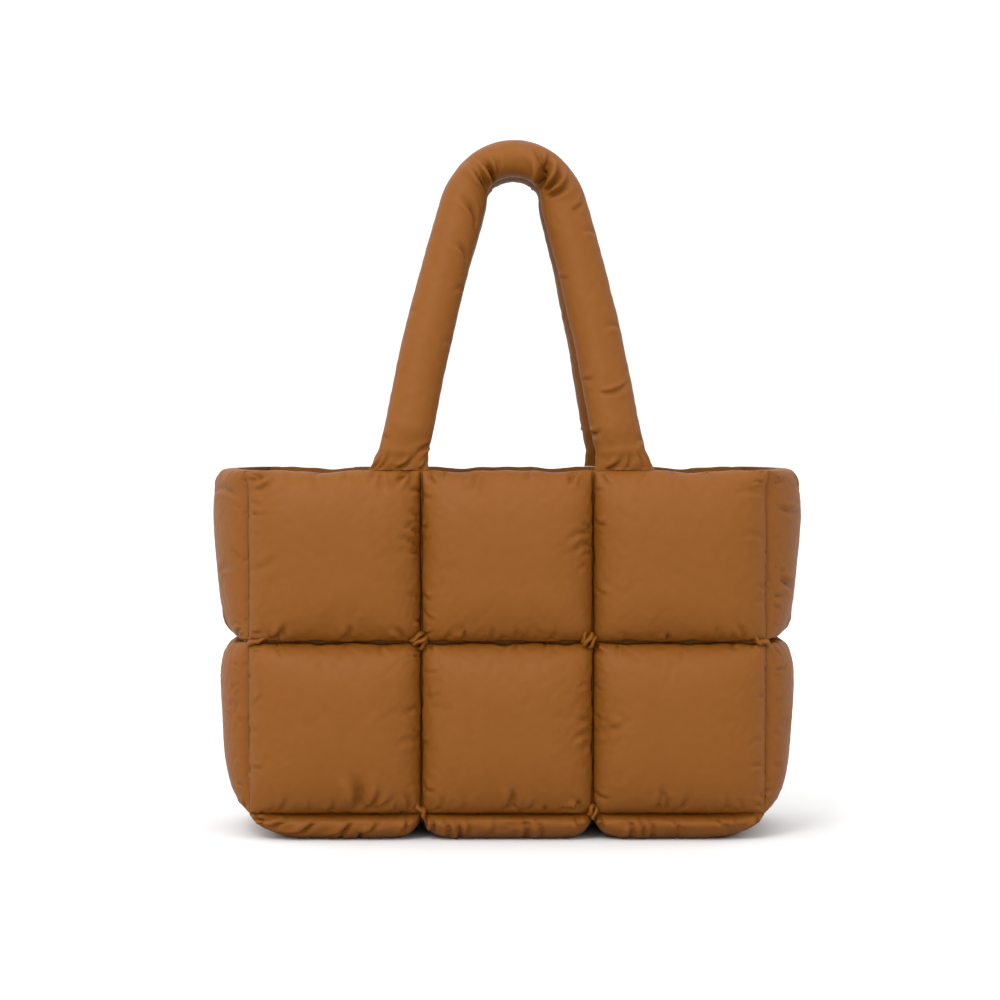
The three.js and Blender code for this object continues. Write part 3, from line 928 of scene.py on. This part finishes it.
def handle_section(handle, share):
    """Half the width and half the depth of the handle's section, smoothly between HANDLE_SECTIONS."""
    along = 1 - np.abs(2 * share - 1)
    stops = np.array([section.along for section in HANDLE_SECTIONS])
    following = np.clip(np.searchsorted(stops, along - 1e-9), 1, len(stops) - 1)
    mix = smooth_step((along - stops[following - 1]) / (stops[following] - stops[following - 1]))
    halves = []
    for size in ("width", "depth"):
        sizes = np.array([getattr(section, size) for section in HANDLE_SECTIONS])
        halves.append(handle.thickness * (sizes[following - 1] * (1 - mix) + sizes[following] * mix) / 2)
    return halves


def handle_surface(handle, quilt, share, around):
    """Points of the tube. around is a share of the way round it from its seam, which faces back."""
    middle, direction, _ = handle_path(handle, share)
    foot = (1 - smooth_step(middle[:, 1] / handle.foot_rise))[:, None]
    inward = np.stack([direction[:, 1], -direction[:, 0]], axis=1)
    level = np.stack([np.sign(direction[:, 1]), np.zeros(len(share))], axis=1)
    inward = inward * (1 - foot) + level * foot
    inward /= np.linalg.norm(inward, axis=1, keepdims=True)
    half_width, half_depth = handle_section(handle, share)
    turn = 2 * np.pi * (around - INNER_SIDE)
    inwards = np.cos(turn) * half_width
    x = middle[:, 0] + inward[:, 0] * inwards
    z = middle[:, 1] + inward[:, 1] * inwards
    top_depth = handle_section(handle, np.array([0.5]))[1][0]
    raised = np.maximum(0, z / handle.rise)
    up_the_bow = np.clip((raised - BOW_FROM) / (BOW_TO - BOW_FROM), 0, 1)
    bow = handle.leg_bow * np.sin(np.pi * up_the_bow) * np.sign(share - 0.5)
    x = x + bow + FRONT_FEET_SHIFT + (handle.arch_shift - FRONT_FEET_SHIFT) * raised
    lean = (quilt.depth / 2 - handle.top_gap / 2 - top_depth) * raised
    y = lean - quilt.depth / 2 - np.sin(turn) * half_depth
    return np.stack([x, y, quilt.rim_height + PIECE_GAP + z], axis=1)


def girth(handle):
    return math.pi * handle.thickness


def cut_tube(handle, quilt, ring, around):
    """The tube's flat cloth, cut to a length between its middle line's and that of the arch's outside."""
    rings = np.linspace(0, 1, TUBE_STEPS + 1)
    outside = handle_surface(handle, quilt, rings, np.full(TUBE_STEPS + 1, OUTER_SIDE))
    outer_steps = np.linalg.norm(np.diff(outside, axis=0), axis=1)
    middle_steps = np.full(TUBE_STEPS, handle_path(handle, rings)[2] / TUBE_STEPS)
    steps = middle_steps * (1 - OUTER_CUT) + outer_steps * OUTER_CUT
    cut = np.concatenate([[0], np.cumsum(steps)])
    return np.stack([cut[ring], around * girth(handle), np.zeros_like(around)], axis=1)


def settled_tube(handle, quilt):
    """The handle's cloth as its filling leaves it, as an array of points, line by line round the tube."""
    sheet, along, around = flat_grid("handle_cut", TUBE_STEPS, TUBE_SIDES)
    start = handle_surface(handle, quilt, along, around)
    ring = np.rint(along * TUBE_STEPS).astype(int)
    settled = start
    shake = np.random.default_rng(HANDLE_SEED).normal(0, SHAKE, start.shape)
    pinned = on_seam(around) | on_seam(along)
    place(sheet, np.where(pinned[:, None], start, start + shake))
    rest = cut_tube(handle, quilt, ring, around) * HANDLE_FILLING.slack
    settled = inflate(sheet, pinned, rest, HANDLE_FILLING)
    settled = capped(settled, start, HANDLE_FILLING.most_moved)
    rows = np.zeros((TUBE_SIDES + 1, TUBE_STEPS + 1, 3))
    rows[np.rint(around * TUBE_SIDES).astype(int), ring] = settled
    return rows


def stuffed_handle(handle, quilt):
    """A creased tube of cloth, cut long for its middle line, so that its arch gathers into folds."""
    settled = settled_tube(handle, quilt)
    fine_steps = TUBE_STEPS * TUBE_FINER
    fine_sides = TUBE_SIDES * TUBE_FINER
    tube, along, around = flat_grid("front_handle_cloth", fine_steps, fine_sides)
    finer = np.einsum(
        "ai,bj,ijk->abk", curve_weights(np.linspace(0, 1, fine_sides + 1), TUBE_SIDES, 1),
        curve_weights(np.linspace(0, 1, fine_steps + 1), TUBE_STEPS, 1), settled, optimize=True,
    )
    points = finer[np.rint(around * fine_sides).astype(int), np.rint(along * fine_steps).astype(int)]
    place(tube, points)
    size = (handle_path(handle, along)[2], girth(handle))
    map_cloth(tube, along * size[0], around * size[1])
    places = np.stack([along * size[0], around * size[1]], axis=1)
    relief = crease_relief(places, HANDLE_CREASES, size) + LUMP_HEIGHT * lumpiness(points)
    relief *= smooth_step(np.minimum(around, 1 - around) / CALM_BESIDE_SEAM)
    points = points + normals(tube) * relief[:, None]
    points[:, 1] = np.minimum(points[:, 1], -PIECE_GAP)
    points[:, 2] = np.maximum(points[:, 2], quilt.rim_height + PIECE_GAP)
    place(tube, points)
    return closed_tube(tube)


def closed_tube(tube):
    """Joins a tube along its seam and closes both its ends."""
    bm = bmesh.new()
    bm.from_mesh(tube)
    bmesh.ops.remove_doubles(bm, verts=[vert for vert in bm.verts if vert.is_boundary], dist=1e-6)
    edges = [edge for edge in bm.edges if edge.is_boundary]
    for edge in edges:
        edge.smooth = False
    bmesh.ops.holes_fill(bm, edges=edges, sides=0)
    bmesh.ops.recalc_face_normals(bm, faces=bm.faces)
    bm.to_mesh(tube)
    bm.free()
    return tube


def mirrored_handle(front, handle, quilt):
    """The back handle: the front one mirrored, with its feet moved sideways and its arch kept in line."""
    back = front.copy()
    back.name = "back_handle_cloth"
    points = coordinates(back)
    raised = np.clip((points[:, 2] - quilt.rim_height) / handle.rise, 0, 1)
    points[:, 0] += (BACK_FEET_SHIFT - FRONT_FEET_SHIFT) * (1 - raised)
    points[:, 1] *= -1
    place(back, points)
    back.flip_normals()
    return back


def finish_cloth(mesh, material, node):
    """Shows a finished mesh of padded cloth in place of its solid."""
    mesh.materials.clear()
    mesh.materials.append(material)
    mesh.polygons.foreach_set("use_smooth", [True] * len(mesh.polygons))
    mesh.update()
    piece = shown(mesh)
    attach(piece, BODY)
    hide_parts(node)
    return piece


def turned_copy(mesh, name):
    """The same wall for the other side of the bag, turned half round."""
    copy = mesh.copy()
    copy.name = name
    copy.transform(Matrix.Rotation(math.pi, 4, "Z"))
    return copy


def weave_height(tree, look, uv):
    """Height of the plain weave: threads of two directions that pass over and under each other."""
    nodes, links = tree.nodes, tree.links
    heights = []
    for direction in ("X", "Y"):
        wave = nodes.new("ShaderNodeTexWave")
        wave.bands_direction = direction
        wave.inputs["Scale"].default_value = math.pi / (10 * look.weave_pitch)
        links.new(uv, wave.inputs["Vector"])
        heights.append(wave.outputs["Fac"])
    woven = nodes.new("ShaderNodeMath")
    woven.operation = "MAXIMUM"
    links.new(heights[0], woven.inputs[0])
    links.new(heights[1], woven.inputs[1])
    return woven.outputs[0]


def bumped(tree, height, distance, strength, below=None):
    """A normal that follows a height, on top of the normal below."""
    bump = tree.nodes.new("ShaderNodeBump")
    bump.inputs["Distance"].default_value = distance
    bump.inputs["Strength"].default_value = strength
    tree.links.new(height, bump.inputs["Height"])
    if below:
        tree.links.new(below, bump.inputs["Normal"])
    return bump.outputs["Normal"]


def speckle(tree, coordinate, size, detail):
    """Soft specks of about a size, from 0 to 1."""
    specks = tree.nodes.new("ShaderNodeTexNoise")
    specks.inputs["Scale"].default_value = 1 / size
    specks.inputs["Detail"].default_value = detail
    tree.links.new(coordinate, specks.inputs["Vector"])
    return specks.outputs["Fac"]


def nylon(look):
    """Fine, softly glossy nylon: a plain weave, slight crinkles and a slightly uneven dye."""
    existing = bpy.data.materials.get("nylon")
    if existing:
        return existing
    material = bpy.data.materials.new("nylon")
    material.use_nodes = True
    tree = material.node_tree
    nodes, links = tree.nodes, tree.links
    shader = nodes["Principled BSDF"]
    shader.inputs["Specular IOR Level"].default_value = look.gloss
    uv = nodes.new("ShaderNodeUVMap")
    uv.uv_map = "cloth"
    where = nodes.new("ShaderNodeTexCoord").outputs["Object"]
    dye = nodes.new("ShaderNodeMix")
    dye.data_type = "RGBA"
    dye.inputs["A"].default_value = (*look.nylon_deep, 1)
    dye.inputs["B"].default_value = (*look.nylon, 1)
    taken_up = nodes.new("ShaderNodeMapRange")
    taken_up.inputs["To Min"].default_value = LEAST_NYLON
    taken_up.inputs["To Max"].default_value = 1.0
    links.new(speckle(tree, where, DYE_SPECKS, 4), taken_up.inputs["Value"])
    links.new(taken_up.outputs["Result"], dye.inputs["Factor"])
    links.new(dye.outputs["Result"], shader.inputs["Base Color"])
    polish = nodes.new("ShaderNodeMapRange")
    polish.inputs["To Min"].default_value = look.roughness - ROUGHNESS_SPREAD
    polish.inputs["To Max"].default_value = look.roughness + ROUGHNESS_SPREAD
    links.new(speckle(tree, where, DULL_SPECKS, 3), polish.inputs["Value"])
    links.new(polish.outputs["Result"], shader.inputs["Roughness"])
    crinkled = bumped(tree, speckle(tree, where, CRINKLE_SIZE, 5), CRINKLE_HEIGHT, look.crinkle)
    threads = weave_height(tree, look, uv.outputs["UV"])
    woven = bumped(tree, threads, THREAD_HEIGHT, THREAD_STRENGTH, crinkled)
    links.new(woven, shader.inputs["Normal"])
    return material


class TOTE_OT_panels(bpy.types.Operator):
    """Quilted front and back walls"""

    bl_idname = "tote.panels"
    bl_label = "Front and back panels"

    def execute(self, context):
        quilt = context.scene.tote_quilt
        material = nylon(context.scene.tote_cloth)
        front = quilted(Wall(
            "front", COLUMNS, ROWS, (quilt.square_width, quilt.square_height), quilt.panel_puff,
            partial(panel_surface, quilt), partial(panel_places, quilt), partial(panel_limited, quilt),
            FRONT_CREASES, puckering=1.0, filling=PANEL_FILLING, seed=7,
        ))
        add_tucks(front, FRONT_TUCKS, quilt)
        back = turned_copy(front, "back")
        finish_cloth(front, material, "front_panel")
        finish_cloth(back, material, "back_panel")
        return {"FINISHED"}


class TOTE_OT_gussets(bpy.types.Operator):
    """Quilted end walls"""

    bl_idname = "tote.gussets"
    bl_label = "Gussets"

    def execute(self, context):
        quilt = context.scene.tote_quilt
        material = nylon(context.scene.tote_cloth)
        right = quilted(Wall(
            "right_end", 1, ROWS, (quilt.depth, quilt.square_height), quilt.gusset_puff,
            partial(gusset_surface, quilt), partial(gusset_places, quilt), partial(gusset_limited, quilt),
            GUSSET_CREASES, puckering=0.8, filling=GUSSET_FILLING, seed=11,
        ))
        left = turned_copy(right, "left_end")
        finish_cloth(right, material, "right_gusset")
        finish_cloth(left, material, "left_gusset")
        return {"FINISHED"}


class TOTE_OT_base(bpy.types.Operator):
    """Quilted base that the bag stands on"""

    bl_idname = "tote.base"
    bl_label = "Base"

    def execute(self, context):
        quilt = context.scene.tote_quilt
        base = quilted(Wall(
            "base", COLUMNS, 1, (quilt.square_width, quilt.depth), quilt.base_puff,
            partial(base_surface, quilt), partial(base_places, quilt), partial(base_limited, quilt),
            BASE_CREASES, puckering=0.45, filling=BASE_FILLING, seed=13,
        ))
        finish_cloth(base, nylon(context.scene.tote_cloth), "base_panel")
        return {"FINISHED"}


class TOTE_OT_handles(bpy.types.Operator):
    """Stuffed carrying handles"""

    bl_idname = "tote.handles"
    bl_label = "Handles"

    def execute(self, context):
        quilt = context.scene.tote_quilt
        material = nylon(context.scene.tote_cloth)
        front = stuffed_handle(context.scene.tote_handle, quilt)
        back = mirrored_handle(front, context.scene.tote_handle, quilt)
        finish_cloth(front, material, "front_handle")
        finish_cloth(back, material, "back_handle")
        return {"FINISHED"}


def soft_lamp(name, power, size, location):
    """A square lamp that faces the middle of the bag."""
    lamp = bpy.data.lights.new(name, "AREA")
    lamp.energy = power
    lamp.size = size
    piece = bpy.data.objects.new(name, lamp)
    bpy.context.scene.collection.objects.link(piece)
    piece.location = location
    piece.rotation_euler = (Vector(LAMP_AIM) - piece.location).to_track_quat("-Z", "Y").to_euler()


class TOTE_OT_studio(bpy.types.Operator):
    """Pale floor, soft light and the camera"""

    bl_idname = "tote.studio"
    bl_label = "Studio"

    def execute(self, context):
        look = context.scene.tote_studio
        scene = context.scene
        scene.view_settings.view_transform = "Standard"
        floor_mesh = bpy.data.meshes.new("floor")
        bm = bmesh.new()
        bmesh.ops.create_grid(bm, x_segments=1, y_segments=1, size=look.floor_reach)
        bm.to_mesh(floor_mesh)
        bm.free()
        floor = shown(floor_mesh)
        material = bpy.data.materials.new("floor")
        material.use_nodes = True
        paint = material.node_tree.nodes["Principled BSDF"]
        paint.inputs["Base Color"].default_value = (*look.floor, 1)
        paint.inputs["Roughness"].default_value = 0.9
        paint.inputs["Specular IOR Level"].default_value = 0.1
        floor_mesh.materials.append(material)
        world = bpy.data.worlds.new("sky")
        world.use_nodes = True
        nodes, links = world.node_tree.nodes, world.node_tree.links
        towards = nodes.new("ShaderNodeVectorMath")
        towards.operation = "DOT_PRODUCT"
        towards.inputs[1].default_value = BRIGHT_SKY
        links.new(nodes.new("ShaderNodeTexCoord").outputs["Generated"], towards.inputs[0])
        strength = nodes.new("ShaderNodeMath")
        strength.operation = "MULTIPLY_ADD"
        strength.inputs[1].default_value = look.sky_slope
        strength.inputs[2].default_value = look.sky_strength
        links.new(towards.outputs["Value"], strength.inputs[0])
        background = nodes["Background"]
        background.inputs["Color"].default_value = (1, 1, 1, 1)
        links.new(strength.outputs[0], background.inputs["Strength"])
        scene.world = world
        soft_lamp("key", look.key_power, KEY_SIZE, KEY_PLACE)
        eye = bpy.data.cameras.new("camera")
        eye.lens = look.camera_lens
        camera = bpy.data.objects.new("camera", eye)
        scene.collection.objects.link(camera)
        camera.location = (look.camera_aside, -look.camera_distance, look.camera_height)
        front = -context.scene.tote_quilt.depth / 2 - AIM_FORWARD
        target = Vector((look.camera_aside, front, look.aim_height))
        camera.rotation_euler = (target - camera.location).to_track_quat("-Z", "Y").to_euler()
        scene.camera = camera
        return {"FINISHED"}


class TOTE_PT_sidebar(bpy.types.Panel):
    """Builds the tote bag piece by piece"""

    bl_idname = "TOTE_PT_sidebar"
    bl_label = "Tote bag"
    bl_space_type = "VIEW_3D"
    bl_region_type = "UI"
    bl_category = "Tote bag"

    def draw(self, context):
        for operator in OPERATORS:
            self.layout.operator(operator.bl_idname)


OPERATORS = (TOTE_OT_studio, TOTE_OT_panels, TOTE_OT_gussets, TOTE_OT_base, TOTE_OT_handles)
CLASSES = (QuiltSizes, HandleSizes, ClothLook, StudioLook, *OPERATORS, TOTE_PT_sidebar)


def register():
    for shape in CLASSES:
        bpy.utils.register_class(shape)
    bpy.types.Scene.tote_quilt = bpy.props.PointerProperty(type=QuiltSizes)
    bpy.types.Scene.tote_handle = bpy.props.PointerProperty(type=HandleSizes)
    bpy.types.Scene.tote_cloth = bpy.props.PointerProperty(type=ClothLook)
    bpy.types.Scene.tote_studio = bpy.props.PointerProperty(type=StudioLook)


def unregister():
    for name in ("tote_quilt", "tote_handle", "tote_cloth", "tote_studio"):
        delattr(bpy.types.Scene, name)
    for shape in reversed(CLASSES):
        bpy.utils.unregister_class(shape)


def main():
    register()
    bpy.ops.tote.studio()
    bpy.ops.tote.panels()
    bpy.ops.tote.gussets()
    bpy.ops.tote.base()
    bpy.ops.tote.handles()


if __name__ == "__main__":
    main()
